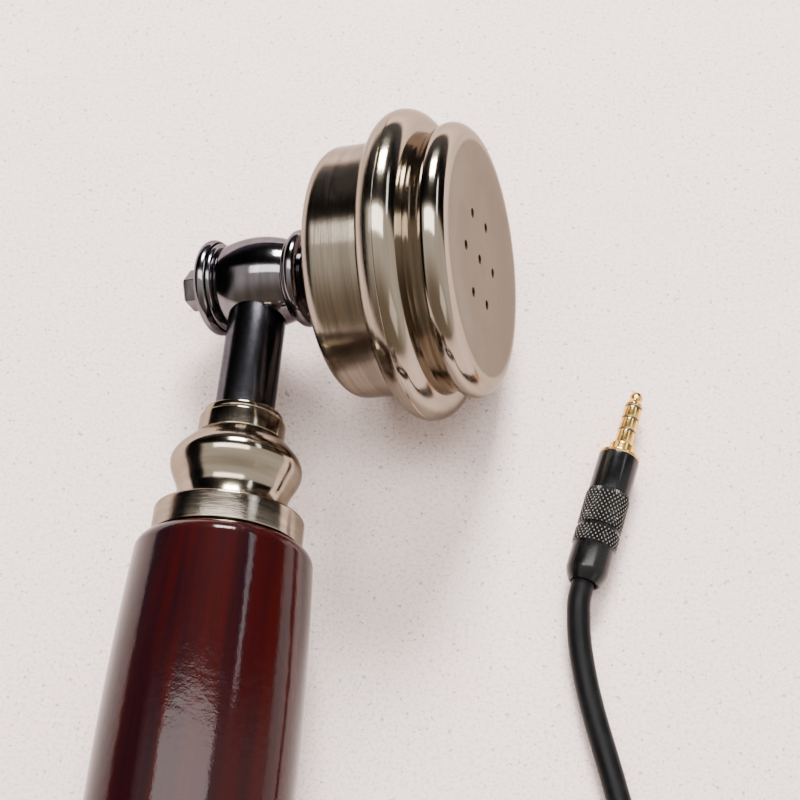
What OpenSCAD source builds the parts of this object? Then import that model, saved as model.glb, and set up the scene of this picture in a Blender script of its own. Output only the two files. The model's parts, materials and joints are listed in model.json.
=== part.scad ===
// Corded telephone handset: a turned wooden grip between two metal tees, with an
// earpiece, a horn mouthpiece and a lead that ends in a four-pole 3.5 mm plug.
// The handset lies on its side: +Y runs up the handle to the earpiece, +X is the
// side the earpiece faces, +Z is up.

/* [Handset] */
// Distance between the earpiece axis and the mouthpiece axis
axis_gap = 200; // [196:1:220]
// Largest radius of the wooden grip
grip_r = 17.4; // [17:0.1:17.8]
// Radius of the grip just behind its rounded ends
grip_end_r = 15.9; // [15:0.1:16.2]
// Radius of the round at each end of the grip
grip_round = 3; // [2:0.5:3.5]

/* [Cups] */
// Outer radius of the cup drums
drum_r = 24.1; // [23.8:0.1:24.3]
// Distance from the tee axis to the back of each cup
cup_back = 17.4; // [16.8:0.1:17.6]
// Round between the back of a cup and its drum
cup_shoulder = 3; // [2:0.5:4]
// Wall of the cups
cup_wall = 1.4; // [1:0.1:1.6]
// Outer radius of the bead where cup and cap meet
bead_r = 29.4; // [29:0.1:30]
// Radius of the bead's own round section
bead_round = 4.1; // [3.8:0.1:4.2]
// Distance from the tee axis to the middle of the bead
bead_x = 33.3; // [33:0.1:33.6]
// Distance from the tee axis to the seam between cup and cap
seam_x = 33.6; // [33.4:0.1:34]
// Depth that each cap screws into its cup
spigot_len = 3.2; // [2.6:0.1:3.3]

/* [Ear cap] */
// Radius of the narrow waist in front of the bead
waist_r = 24.2; // [23.8:0.1:24.6]
// Outer radius of the cap's rounded front rim
rim_r = 25.8; // [25.2:0.1:26.2]
// Radius of the round section of the front rim
rim_round = 3.2; // [2.8:0.1:3.4]
// Distance from the tee axis to the front of the cap
face_x = 45.1; // [44.6:0.1:46]
// Depth of the shallow dish in the front face
dish_depth = 0.8; // [0.4:0.1:1]
// Radius of the sound holes
hole_r = 0.95; // [0.8:0.05:1.1]
// Radius of the circle of sound holes
hole_ring_r = 8.8; // [8:0.1:10]

/* [Horn] */
// Radius of the horn where it leaves the bead
horn_neck_r = 23.4; // [23:0.1:23.8]
// Outer radius of the horn's lip
lip_r = 27; // [26:0.1:28]
// Distance from the tee axis to the front of the lip
lip_x = 54; // [52:0.5:56]
// Distance from the tee axis to the floor of the horn
horn_floor_x = 44.5; // [44:0.1:45]

/* [Neck] */
// Outer radius of the plain neck tubes
neck_r = 5.6; // [5.4:0.1:5.8]
// Outer radius of the hollow rod that ties the handset together
tie_r = 4.2; // [4:0.1:4.4]
// Largest radius of the round neck bulbs
bulb_r = 12.2; // [11.5:0.1:12.8]
// Outer radius of the bands at the ends of the grip
band_r = 13.7; // [13.2:0.1:14]
// Radius of the studs that hold the cups
stud_r = 2; // [1.8:0.1:2.2]

/* [Plug] */
// Place of the front of the plug's black body across the table
plug_x = 50.7; // [48:0.1:52]
// Place of the front of the plug's black body along the table
plug_y = 73.8; // [72:0.1:75]
// Angle that the plug points away from the handle
plug_yaw = 13.5; // [12:0.5:15]
// Radius of the contacts
contact_r = 1.75; // [1.75]
// Length of the gold part, flange included
gold_len = 14.9; // [14.5:0.1:15.2]
// Radius of the smooth plug body
barrel_r = 4; // [3.8:0.1:4.1]
// Radius over the knurl
knurl_r = 4.3; // [4.2:0.1:4.5]

/* [Cord] */
// Diameter of the cord
cord_d = 4.4; // [4:0.1:4.6]

/* [Hidden] */
$fn = 96;

gap = 0.05;         // running clearance of turned fits
half_gap = axis_gap / 2;

// The handset rolls until the grip and the two beads all touch the table.
bead_mid_r = bead_r - bead_round;
lean = acos((grip_r - bead_round) / norm([bead_mid_r, bead_x])) - atan2(bead_x, bead_mid_r);
rest_h = grip_r;
lip_round = 1.3;
reach_x = (lip_x - lip_round) * cos(lean) + (lip_r - lip_round) * sin(lean) + lip_round;
mid_x = (reach_x - grip_r) / 2;

// Places along the handle, measured from a tee axis towards the middle of the grip
tee_socket_t = 5.2;
tube_top_t = 6.8;
collar_t = 29;
lip_t = 30;
tube_end_t = 31;
bulb_t = 34.2;
bulb_mid_t = 39.8;
bulb_waist_t = 46;
band_t = 49.3;
band_end_t = 54.7;
grip_t = 55.1;
band_spigot_r = 9;
band_spigot_len = 3;
collar_r = 8.1;
collar_lip_r = 7.5;
bulb_top_r = 8.3;
bulb_waist_r = 10.2;
bulb_foot_r = 10.9;

// Places along a tee's own axis
tee_half = 7.2;
tee_flat = 5.9;
tee_mid_r = 9;
tee_end_r = 7.5;
ring_big_r = 9.5;
ring_big_round = 1.4;
ring_small_r = 8.6;
ring_small_round = 0.8;
ring_out = 10.7;
washer_t = 0.5;     // friction washer between a tee's spacer and its cup
spacer_r = 6.4;
nut_h = 2.6;
hex_len = 5.3;
hex_r = 4.2;
gasket_t = 0.4;
spigot_r = drum_r - 0.75;
cap_in_r = drum_r - 2.5;
cap_front_t = 1.5;
hole_turn = 14;     // turn of the rings of sound holes about the cap's axis

// Speaker and microphone
seat_top_x = 26;
seat_in_r = 15;
magnet_r = 9;
magnet_x = 23;
magnet_end_x = 27.2;
frame_r = 20.5;
frame_rim_x = 31.2;
cloth_t = 0.3;
cloth_r = 18;
mic_r = 4.9;
mic_len = 5.2;

// Plug: distances back (negative) and forward from the front of its black body
plug_h = knurl_r;
flange_r = 3.95;
flange_t = 0.6;
collar_len = 2.3;
plug_collar_r = 2.5;
insulator_t = 0.4;
first_insulator = gold_len - 3.8;
second_insulator = gold_len - 6.4;
third_insulator = gold_len - 9.1;
pin_r = 0.85;
body_len = 8;
thread_r = 3.2;
thread_len = 4;
shell_end = -26.7;
knurl_1 = [-15.3, -8];
knurl_2 = [-20.5, -16.1];
shell_bore_end = -20;
cord_bore_r = 2.5;
tag_len = 1.4;
liner = [-19.5, -12.1];
shell_mouth_r = 2.9;
groove_r = 3.95;

// Coil of spare cord: three turns on the table and two more lying between them
cord_r = cord_d / 2;
coil_at = [34.5, -32];
coil_turn_r = 24.2;
coil_lift = 0.6;
tie_w = 6;
tie_t = 0.6;

// Route of the cord from the strain relief to the coil
LEAD = [[-21, -134, 17.4], [-21, -140, 17.4], [-21, -147, 16.2], [-20.5, -154, 13],
    [-19.5, -161, 8.4], [-17.5, -168, 4.6], [-14, -174.5, 2.7], [-9, -180, 2.2],
    [-2, -184.5, 2.2], [6, -187.5, 2.2], [15, -188.5, 2.2], [24, -188, 2.2], [33, -185.5, 2.2],
    [41, -181, 2.2], [48, -174.5, 2.2], [53.5, -166, 2.2], [57.5, -156, 2.2],
    [60.5, -144, 2.2], [62.5, -131, 2.2], [63.5, -117, 2.2], [64, -103, 2.2], [64, -89, 2.2],
    [64, -75, 2.2], [63.7, -62, 2.3], [63.2, -50, 2.6], [62.2, -40, 2.8]];
// Route of the cord from the coil to the solder tags inside the plug
TAIL = [[60.9, -32, 6.6], [61.2, -25, 7.1], [60.7, -18, 7.1], [59.6, -13, 6.2],
    [58.2, -8.6, 4.4], [56.6, -4.2, 3], [55, 0.2, 2.3], [53.4, 4.5, 2.2], [51.8, 9.1, 2.2],
    [50.7, 12.7, 2.2], [49.3, 17.1, 2.2], [47.8, 21.8, 2.2], [46.4, 26.6, 2.2],
    [45.2, 31.6, 2.4], [44.3, 36.2, 2.9], [43.8, 40.8, 3.7], [43.9, 45.6, 4.3],
    [46, 54.3, 4.3], [47.5, 60.7, 4.3]];

// ---- helpers ----

// Everything on the handset is drawn about the middle of the grip and leans with it.
module handset() translate([-mid_x, 0, rest_h]) rotate([0, -lean, 0]) children();

// Upright on a tee: the child's Z is the cup's axis.
module ear_end() handset() translate([0, half_gap, 0]) rotate([0, 90, 0]) children();
module mouth_end() handset() translate([0, -half_gap, 0]) rotate([0, 90, 0]) children();

// Along the handle: the child's Z runs from a tee towards the grip.
module from_ear() handset() translate([0, half_gap, 0]) rotate([90, 0, 0]) children();
module from_mouth() handset() mirror([0, 1, 0]) translate([0, half_gap, 0])
    rotate([90, 0, 0]) children();

// Along the plug: the child's Z points out through the tip.
module on_plug() translate([plug_x, plug_y, plug_h]) rotate([0, 0, -plug_yaw])
    rotate([-90, 0, 0]) children();

module turned(points) rotate_extrude() polygon(points);

module pipe(outer, inner, z0, z1) translate([0, 0, z0]) difference() {
    cylinder(r = outer, h = z1 - z0);
    translate([0, 0, -1]) cylinder(r = inner, h = z1 - z0 + 2);
}

// A tube swept along a route, with an upright ring of sides at each point
module swept(route, radius, sides) {
    last = len(route) - 1;
    ahead = [for (i = [0:last]) route[min(i + 1, last)] - route[max(i - 1, 0)]];
    side = [for (a = ahead) cross(a, [0, 0, 1]) / norm(cross(a, [0, 0, 1]))];
    above = [for (i = [0:last]) cross(side[i], ahead[i]) / norm(ahead[i])];
    points = [for (i = [0:last]) for (k = [0:sides - 1])
        route[i] + radius * (side[i] * cos(360 * k / sides) + above[i] * sin(360 * k / sides))];
    skin = [for (i = [0:last - 1]) for (k = [0:sides - 1])
        [i * sides + k, i * sides + (k + 1) % sides,
         (i + 1) * sides + (k + 1) % sides, (i + 1) * sides + k]];
    start = [[for (k = [0:sides - 1]) sides - 1 - k]];
    end = [[for (k = [0:sides - 1]) last * sides + k]];
    polyhedron(points, concat(skin, start, end));
}

// ---- grip and neck ----

function grip_radius(y) = grip_r - (grip_r - grip_end_r) * pow(y / (half_gap - grip_t), 2);

// Half outline of the grip, from its middle to its rounded end
function grip_side() = let (end = half_gap - grip_t, start = end - grip_round,
        r = grip_radius(start))
    concat([for (i = [0:10]) [grip_radius(start * i / 10), start * i / 10]],
        [for (a = [15:15:90]) [r - grip_round + grip_round * cos(a), start + grip_round * sin(a)]]);

module wood_grip() color("#5a1512") handset() rotate([90, 0, 0]) difference() {
    side = grip_side();
    under = [for (i = [len(side) - 1:-1:1]) [side[i][0], -side[i][1]]];
    turned(concat([[0, -(half_gap - grip_t)]], under, side, [[0, half_gap - grip_t]]));
    cylinder(r = tie_r + 0.2, h = axis_gap, center = true);
    for (s = [-1, 1]) translate([0, 0, s * (half_gap - grip_t)])
        cylinder(r = band_spigot_r + gap, h = 2 * (band_spigot_len + 0.2), center = true);
}

module tie_rod() color("#8d8a80") from_ear()
    pipe(tie_r, 2.8, tee_socket_t, axis_gap - tee_socket_t);

module lead_wires() color("#b03028") from_ear() for (s = [-1, 1])
    translate([1.2 * s, 0, tee_socket_t]) cylinder(r = 0.8, h = axis_gap - 2 * tee_socket_t, $fn = 24);

module neck_tube() color("#2b2b30") pipe(neck_r, tie_r + gap, tube_top_t, tube_end_t);
module upper_neck_tube() from_ear() neck_tube();
module lower_neck_tube() from_mouth() neck_tube();

module collar() color("#9c9785") difference() {
    turned([[0, collar_t], [collar_lip_r, collar_t], [collar_lip_r, lip_t], [collar_r, lip_t],
        [collar_r, bulb_t], [0, bulb_t]]);
    translate([0, 0, collar_t - 1]) cylinder(r = tie_r + gap, h = 9);
    translate([0, 0, collar_t - 1]) cylinder(r = neck_r + gap, h = tube_end_t - collar_t + 1);
}
module upper_collar() from_ear() collar();
module lower_collar() from_mouth() collar();

// The bulb swells quickly, draws in to a waist and flares a little onto the band.
bulb_side = concat(
    [for (i = [0:8]) [bulb_top_r + (bulb_r - bulb_top_r) * sin(90 * i / 8),
        bulb_t + (bulb_mid_t - bulb_t) * i / 8]],
    [for (i = [1:8]) [bulb_waist_r + (bulb_r - bulb_waist_r) * (1 + cos(180 * i / 8)) / 2,
        bulb_mid_t + (bulb_waist_t - bulb_mid_t) * i / 8]],
    [for (i = [1:4]) [bulb_waist_r + (bulb_foot_r - bulb_waist_r) * pow(i / 4, 2),
        bulb_waist_t + (band_t - bulb_waist_t) * i / 4]]);
module bulb() color("#a29c88") difference() {
    turned(concat([[0, bulb_t]], bulb_side, [[0, band_t]]));
    translate([0, 0, bulb_t - 1]) cylinder(r = tie_r + gap, h = band_t - bulb_t + 2);
}
module upper_bulb() from_ear() bulb();
module lower_bulb() from_mouth() bulb();

module band() color("#a8a18b") difference() {
    turned([[0, band_t], [band_r, band_t], [band_r, band_end_t], [band_r - 1, band_end_t],
        [band_r - 1, grip_t], [band_spigot_r, grip_t], [band_spigot_r, grip_t + band_spigot_len],
        [0, grip_t + band_spigot_len]]);
    translate([0, 0, band_t - 1]) cylinder(r = tie_r + gap, h = 12);
}
module upper_band() from_ear() band();
module lower_band() from_mouth() band();

// ---- tees and their fittings ----

// A turned hub, bored for the stud and for the rod and tube of the neck
module tee() color("#34343a") difference() {
    turned([[stud_r + gap, -tee_half], [tee_end_r, -tee_half], [tee_mid_r, -tee_flat],
        [tee_mid_r, tee_flat], [tee_end_r, tee_half], [stud_r + gap, tee_half]]);
    translate([0, -tee_socket_t, 0]) rotate([90, 0, 0]) cylinder(r = tie_r + gap, h = 9);
    translate([0, -tube_top_t, 0]) rotate([90, 0, 0]) cylinder(r = neck_r + gap, h = 9);
}
module ear_tee() ear_end() tee();
module mouth_tee() mouth_end() difference() {
    mirror([0, 1, 0]) tee();
    translate([0, -3, 0]) rotate([90, 0, 0]) cylinder(r = 3.5, h = 9);
}

// Two turned rings, each a large and a small bead, one against each end of a tee
module bead_rings() color("#3a3a40") for (s = [0, 1]) mirror([0, 0, s]) rotate_extrude() {
    translate([stud_r + gap, tee_half]) square([ring_small_r - stud_r - ring_small_round - gap,
        ring_out - tee_half - 0.4]);
    translate([ring_small_r - ring_small_round, tee_half + ring_small_round])
        circle(ring_small_round);
    translate([ring_big_r - ring_big_round, ring_out - ring_big_round]) circle(ring_big_round);
}
module ear_bead_rings() ear_end() bead_rings();
module mouth_bead_rings() mouth_end() bead_rings();

// The stud's hexagon head shows behind the tee; a bore carries the wires forward.
module stud() color("#2f2f34") difference() {
    union() {
        translate([0, 0, -ring_out + 0.4]) cylinder(r = stud_r, h = ring_out + cup_back + 5);
        translate([0, 0, -ring_out + 0.4 - hex_len]) cylinder(r = hex_r, h = hex_len, $fn = 6);
    }
    translate([0, 0, -3]) cylinder(r = 1.1, h = 40);
}
module ear_stud() ear_end() stud();
module mouth_stud() mouth_end() stud();

module spacer() color("#3a3a40") pipe(spacer_r, stud_r + gap, ring_out - 0.4,
    cup_back - washer_t);
module ear_spacer() ear_end() spacer();
module mouth_spacer() mouth_end() spacer();

module friction_washer() color("#b5a284") pipe(spacer_r - 0.4, stud_r + gap,
    cup_back - washer_t, cup_back);
module ear_friction_washer() ear_end() friction_washer();
module mouth_friction_washer() mouth_end() friction_washer();

module cup_nut() color("#c2bda8") difference() {
    translate([0, 0, cup_back + cup_wall]) cylinder(r = hex_r, h = nut_h, $fn = 6);
    cylinder(r = stud_r, h = 60, center = true);
}
module ear_nut() ear_end() cup_nut();
module mouth_nut() mouth_end() cup_nut();

// ---- cups and caps ----

// Half section of the bead in front of (s = 1) or behind (s = -1) the seam
module bead_half(s) intersection() {
    translate([bead_mid_r, bead_x]) circle(bead_round);
    translate([0, s > 0 ? seam_x : seam_x - 9]) square([40, 9]);
}

module cup() color("#9a9588") rotate_extrude() difference() {
    union() {
        translate([0, cup_back]) square([drum_r - cup_shoulder, seam_x - cup_back]);
        translate([0, cup_back + cup_shoulder])
            square([drum_r, seam_x - cup_back - cup_shoulder]);
        translate([drum_r - cup_shoulder, cup_back + cup_shoulder]) circle(cup_shoulder);
        bead_half(-1);
    }
    translate([0, cup_back - 1]) square([stud_r + gap, 9]);
    translate([0, cup_back + cup_wall]) square([drum_r - cup_wall, 40]);
    translate([0, seam_x - spigot_len - gasket_t]) square([spigot_r + gap, 9]);
}
module ear_cup() ear_end() cup();
module mouth_cup() mouth_end() cup();

module gasket() color("#1c1c1c") pipe(spigot_r - 0.1, cap_in_r + 0.2,
    seam_x - spigot_len - gasket_t, seam_x - spigot_len);
module ear_gasket() ear_end() gasket();
module mouth_gasket() mouth_end() gasket();

// A ring of n sound holes through a cap
module sound_holes(n, ring_r, r) for (i = [0:n - 1]) rotate([0, 0, 360 * i / n + hole_turn])
    translate([ring_r, 0, 40]) cylinder(r = r, h = 20, $fn = 24);

// From the bead the cap drops to a waist and rises smoothly to its rounded rim.
rim_x = face_x - rim_round;
waist_x = bead_x + bead_round + 1;
cap_side = [for (i = [0:8]) [waist_r + (rim_r - waist_r) * (1 - cos(180 * i / 8)) / 2,
    waist_x + (rim_x - waist_x) * i / 8]];
module ear_cap() color("#aaa596") ear_end() difference() {
    rotate_extrude() difference() {
        union() {
            bead_half(1);
            translate([0, seam_x - spigot_len]) square([spigot_r, spigot_len + 1]);
            translate([0, seam_x]) square([waist_r, waist_x - seam_x]);
            polygon(concat([[0, waist_x]], cap_side, [[0, rim_x]]));
            translate([0, rim_x - 0.1]) square([rim_r - rim_round, rim_round + 0.1]);
            translate([rim_r - rim_round, rim_x]) circle(rim_round);
        }
        translate([0, seam_x - spigot_len - 1])
            square([cap_in_r, face_x - seam_x + spigot_len + 1 - cap_front_t - dish_depth]);
        polygon([[0, face_x - dish_depth], [14, face_x - dish_depth], [rim_r - rim_round, face_x],
            [rim_r - rim_round, face_x + 1], [0, face_x + 1]]);
    }
    sound_holes(1, 0, hole_r);
    sound_holes(6, hole_ring_r, hole_r);
}

module ear_cloth() color("#2a2826") ear_end()
    translate([0, 0, face_x - dish_depth - cap_front_t - cloth_t])
    cylinder(r = cloth_r, h = cloth_t);

// The horn flares with the square of the distance from the bead.
horn_x = bead_x + bead_round;
horn_wall = 1.5;
function horn_radius(x) = horn_neck_r
    + (lip_r - lip_round - horn_neck_r) * pow((x - horn_x) / (lip_x - lip_round - horn_x), 2);
horn_side = [for (i = [0:10]) let (x = horn_x + (lip_x - lip_round - horn_x) * i / 10)
    [horn_radius(x), x]];
horn_in = [for (i = [0:6]) let (x = horn_floor_x + (lip_x - lip_round - horn_floor_x) * i / 6)
    [horn_radius(x) - horn_wall, x]];
module mouth_horn() color("#aaa596") mouth_end() difference() {
    rotate_extrude() {
        difference() {
            union() {
                bead_half(1);
                translate([0, seam_x - spigot_len]) square([spigot_r, spigot_len + 1]);
                translate([0, seam_x]) square([horn_neck_r, horn_x - seam_x]);
                polygon(concat([[0, horn_x]], horn_side, [[0, lip_x - lip_round]]));
            }
            translate([0, seam_x - spigot_len - 1])
                square([cap_in_r, horn_floor_x - cap_front_t - seam_x + spigot_len + 1]);
            polygon(concat([[0, horn_floor_x]], horn_in, [[0, lip_x]]));
        }
        translate([lip_r - lip_round, lip_x - lip_round]) circle(lip_round);
    }
    sound_holes(1, 0, hole_r);
    sound_holes(6, 5, hole_r);
    sound_holes(12, 10, hole_r);
}

module mouth_cloth() color("#2a2826") mouth_end()
    translate([0, 0, horn_floor_x - cap_front_t - cloth_t]) cylinder(r = cloth_r, h = cloth_t);

// ---- speaker and microphone ----

module speaker_seat() color("#26262a") ear_end() pipe(drum_r - cup_wall - 0.1, seat_in_r,
    cup_back + cup_wall, seat_top_x);

module speaker_frame() color("#77787c") ear_end() turned([[magnet_r + gap, seat_top_x],
    [seat_in_r + 1, seat_top_x], [frame_r, 30], [frame_r, frame_rim_x],
    [19.2, frame_rim_x], [14.5, magnet_end_x], [magnet_r + gap, magnet_end_x]]);

module speaker_magnet() color("#4a4c50") ear_end() difference() {
    translate([0, 0, magnet_x]) cylinder(r = magnet_r, h = magnet_end_x - magnet_x);
    translate([0, 0, magnet_x - 1]) cylinder(r = 1.5, h = 9);
}

module speaker_cone() color("#3c3530") ear_end() turned([[0, 28.7], [7, 27.7],
    [18.6, frame_rim_x], [frame_r, frame_rim_x], [frame_r, frame_rim_x + 0.4],
    [18.4, frame_rim_x + 0.4], [7, 28.2], [0, 29.2]]);

module microphone_holder() color("#222226") mouth_end() difference() {
    translate([0, 0, cup_back + cup_wall + nut_h + 2.4])
        cylinder(r = drum_r - cup_wall - 0.1, h = 6);
    translate([0, 0, cup_back]) cylinder(r = mic_r + 0.1, h = 30);
}

module microphone() color("#b9bcc0") mouth_end() translate([0, 0, cup_back + cup_wall + nut_h + 3.2])
    cylinder(r = mic_r, h = mic_len);

// ---- cord ----

gland_t = 9.4;      // distance of the gland's flange from the tee axis
gland_len = 3.2;
gland_stem_r = 3.45;
gland_stem_len = 4.6;
gland_flange_r = 5.2;
gland_bore_r = 1.8;
relief_end = 34;
relief_r = [2.6, 3.9];

module cord_gland() color("#34343a") from_mouth() difference() {
    union() {
        translate([0, 0, -gland_t]) cylinder(r = gland_stem_r, h = gland_stem_len);
        translate([0, 0, -gland_t - gland_len]) cylinder(r = gland_flange_r, h = gland_len);
    }
    translate([0, 0, -gland_t - gland_len - 1]) cylinder(r = gland_bore_r, h = 12);
}

// A tapered sleeve with raised rings, moulded onto the cord
module strain_relief() color("#17171a") from_mouth() translate([0, 0, -relief_end]) {
    relief_len = relief_end - gland_t - gland_len;
    cylinder(r1 = relief_r[0], r2 = relief_r[1], h = relief_len);
    for (i = [0:5]) translate([0, 0, 2.5 + 3 * i]) cylinder(r = 3 + 0.2 * i, h = 1.3);
}

module cord_lead() color("#19191c") swept(LEAD, cord_r, 10);
module cord_tail() color("#19191c") swept(TAIL, cord_r, 10);

module cord_coil() color("#19191c") translate([coil_at[0], coil_at[1], coil_lift])
    rotate_extrude() polygon([[coil_turn_r - 1.5 * cord_d, 0], [coil_turn_r + 1.5 * cord_d, 0],
        [coil_turn_r + 1.5 * cord_d, cord_d], [coil_turn_r + cord_d, 1.87 * cord_d],
        [coil_turn_r - cord_d, 1.87 * cord_d], [coil_turn_r - 1.5 * cord_d, cord_d]]);

// A strap around the bundle on the side nearest the grip
module coil_tie() color("#2c2c30") translate([coil_at[0] - coil_turn_r, coil_at[1], 0])
    rotate([90, 0, 0]) translate([0, 0, -tie_w / 2]) linear_extrude(tie_w) difference() {
        translate([-1.5 * cord_d - 0.9, 0]) square([3 * cord_d + 1.8, 1.87 * cord_d + 1.3]);
        translate([-1.5 * cord_d - 0.3, tie_t]) square([3 * cord_d + 0.6, 1.87 * cord_d + 0.1]);
    }

// ---- plug ----

module plug_tip() color("#d6a33c") on_plug() {
    turned([[0, first_insulator + insulator_t], [contact_r, first_insulator + insulator_t],
        [contact_r, first_insulator + insulator_t + 0.5], [1.2, gold_len - 1.9],
        [1.2, gold_len - 1.6], [1.35, gold_len - 1.1], [1.1, gold_len - 0.4],
        [0.6, gold_len], [0, gold_len]]);
    translate([0, 0, -5]) cylinder(r = pin_r, h = 5 + first_insulator + 1);
}

module contact(z0, z1) color("#d6a33c") on_plug() pipe(contact_r, pin_r + gap, z0, z1);
module plug_ring_1() contact(second_insulator + insulator_t, first_insulator);
module plug_ring_2() contact(third_insulator + insulator_t, second_insulator);
module plug_sleeve_contact() contact(flange_t + collar_len, third_insulator);

module plug_insulators() color("#111111") on_plug()
    for (z = [first_insulator, second_insulator, third_insulator])
        pipe(contact_r, pin_r + gap, z, z + insulator_t);

module plug_flange() color("#d6a33c") on_plug() {
    pipe(flange_r, pin_r + gap, 0, flange_t);
    pipe(plug_collar_r, pin_r + gap, flange_t, flange_t + collar_len);
}

module plug_body() color("#141416") on_plug() difference() {
    union() {
        translate([0, 0, -body_len]) cylinder(r = barrel_r, h = body_len);
        translate([0, 0, -body_len - thread_len]) cylinder(r = thread_r, h = thread_len + 1);
    }
    translate([0, 0, -20]) cylinder(r = pin_r + gap, h = 30);
}

// Solder tags behind the body
module plug_tags() color("#d0b070") on_plug() for (s = [-1, 1])
    translate([1.5 * s - 0.2, -0.6, -body_len - thread_len - tag_len]) cube([0.4, 1.2, tag_len]);

module plug_liner() color("#d8d2c0") on_plug() pipe(thread_r - 0.05, cord_bore_r,
    liner[0], liner[1]);

// The shell screws over the body and slides back along the cord.
module plug_shell() color("#17171a") on_plug() difference() {
    turned([[0, shell_end], [shell_mouth_r, shell_end], [3.5, shell_end + 1],
        [barrel_r, shell_end + 2.5], [barrel_r, knurl_2[0]], [knurl_r, knurl_2[0]],
        [knurl_r, knurl_2[1]], [groove_r, knurl_2[1]], [groove_r, knurl_1[0]],
        [knurl_r, knurl_1[0]], [knurl_r, knurl_1[1] - 0.6], [barrel_r, knurl_1[1]], [0, knurl_1[1]]]);
    translate([0, 0, shell_end - 1]) cylinder(r = cord_bore_r, h = 30);
    translate([0, 0, shell_bore_end]) cylinder(r = thread_r + gap, h = 20);
}

wood_grip();
tie_rod();
lead_wires();
upper_neck_tube();
upper_collar();
upper_bulb();
upper_band();
lower_neck_tube();
lower_collar();
lower_bulb();
lower_band();
ear_tee();
ear_bead_rings();
ear_stud();
ear_spacer();
ear_friction_washer();
ear_nut();
ear_cup();
speaker_seat();
speaker_frame();
speaker_magnet();
speaker_cone();
ear_gasket();
ear_cap();
ear_cloth();
mouth_tee();
mouth_bead_rings();
mouth_stud();
mouth_spacer();
mouth_friction_washer();
mouth_nut();
mouth_cup();
microphone_holder();
microphone();
mouth_gasket();
mouth_horn();
mouth_cloth();
cord_gland();
strain_relief();
cord_lead();
cord_coil();
coil_tie();
cord_tail();
plug_tip();
plug_ring_1();
plug_ring_2();
plug_sleeve_contact();
plug_insulators();
plug_flange();
plug_body();
plug_tags();
plug_liner();
plug_shell();
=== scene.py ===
"""Corded handset with its plug: turned metal, lacquered wood and a small table studio."""

import json
import math

import bmesh
import bpy
from bpy.props import (
    FloatProperty,
    FloatVectorProperty,
    IntProperty,
    PointerProperty,
)
from mathutils import Matrix, Vector


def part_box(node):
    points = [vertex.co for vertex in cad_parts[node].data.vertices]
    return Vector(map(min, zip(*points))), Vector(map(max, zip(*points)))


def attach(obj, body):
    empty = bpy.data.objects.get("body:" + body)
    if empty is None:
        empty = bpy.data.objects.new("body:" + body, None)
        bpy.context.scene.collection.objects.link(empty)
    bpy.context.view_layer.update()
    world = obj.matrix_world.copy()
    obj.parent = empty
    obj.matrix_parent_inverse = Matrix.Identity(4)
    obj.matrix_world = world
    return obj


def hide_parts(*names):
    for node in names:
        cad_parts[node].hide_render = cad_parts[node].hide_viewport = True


bl_info = {
    "name": "Corded handset",
    "version": (1, 0, 0),
    "blender": (4, 5, 0),
    "location": "3D View > Sidebar > Handset",
    "description": "Turned handset, cord, plug and studio built around the packed frame",
    "category": "Add Mesh",
}

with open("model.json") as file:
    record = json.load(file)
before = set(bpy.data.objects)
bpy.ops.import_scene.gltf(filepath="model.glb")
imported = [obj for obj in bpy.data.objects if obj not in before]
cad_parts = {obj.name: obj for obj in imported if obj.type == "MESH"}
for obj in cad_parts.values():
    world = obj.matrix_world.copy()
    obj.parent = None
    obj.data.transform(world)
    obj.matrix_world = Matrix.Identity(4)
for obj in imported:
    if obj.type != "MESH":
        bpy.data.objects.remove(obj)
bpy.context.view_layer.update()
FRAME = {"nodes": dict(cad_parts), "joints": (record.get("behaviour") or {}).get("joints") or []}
MM = 0.001
SIDES = 192
SMALL_SIDES = 96
CREASE = 32
# Millimetres from the axis under which an outline's point is on it
ON_AXIS = 1e-6


# ---- places taken from the frame ----

JOINTS = {joint["name"]: joint for joint in FRAME["joints"]}
EAR = Vector(JOINTS["earpiece_swivel"]["pos_m"])
MOUTH = Vector(JOINTS["mouthpiece_swivel"]["pos_m"])
CUP_AXIS = Vector(JOINTS["earpiece_swivel"]["axis"]).normalized()
HANDLE_AXIS = (EAR - MOUTH).normalized()
SIDE_AXIS = CUP_AXIS.cross(HANDLE_AXIS)
PLUG_AXIS = Vector(JOINTS["plug_shell_turn"]["axis"]).normalized()
SHELL_MIDDLE = 15 * MM
PLUG_FRONT = Vector(JOINTS["plug_shell_turn"]["pos_m"]) + PLUG_AXIS * SHELL_MIDDLE


def placed(origin, x_axis, z_axis):
    """A rigid placement whose Z runs along z_axis."""
    y_axis = z_axis.cross(x_axis)
    turn = Matrix((x_axis, y_axis, z_axis)).transposed()
    return Matrix.Translation(origin) @ turn.to_4x4()


EAR_END = placed(EAR, -SIDE_AXIS, CUP_AXIS)
MOUTH_END = placed(MOUTH, -SIDE_AXIS, CUP_AXIS)
FROM_EAR = placed(EAR, CUP_AXIS, -HANDLE_AXIS)
FROM_MOUTH = placed(MOUTH, CUP_AXIS, HANDLE_AXIS)
HANDLE = placed((EAR + MOUTH) / 2, CUP_AXIS, HANDLE_AXIS)
ON_PLUG = placed(PLUG_FRONT, PLUG_AXIS.cross(Vector((0, 0, 1))).normalized(), PLUG_AXIS)
HALF_GAP = (EAR - MOUTH).length / MM / 2


def half_width(node, axis):
    """Half of a frame node's width along one world axis."""
    low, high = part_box(node)
    return (high[axis] - low[axis]) / 2


# ---- settings ----


def length(name, default, description):
    """A length setting in metres."""
    return FloatProperty(
        name=name,
        description=description,
        default=default,
        min=0,
        subtype="DISTANCE",
        unit="LENGTH",
        precision=5,
    )


def colour(name, default, description):
    """A colour setting."""
    return FloatVectorProperty(
        name=name,
        description=description,
        default=default,
        subtype="COLOR",
        min=0,
        max=1,
        size=3,
    )


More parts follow.
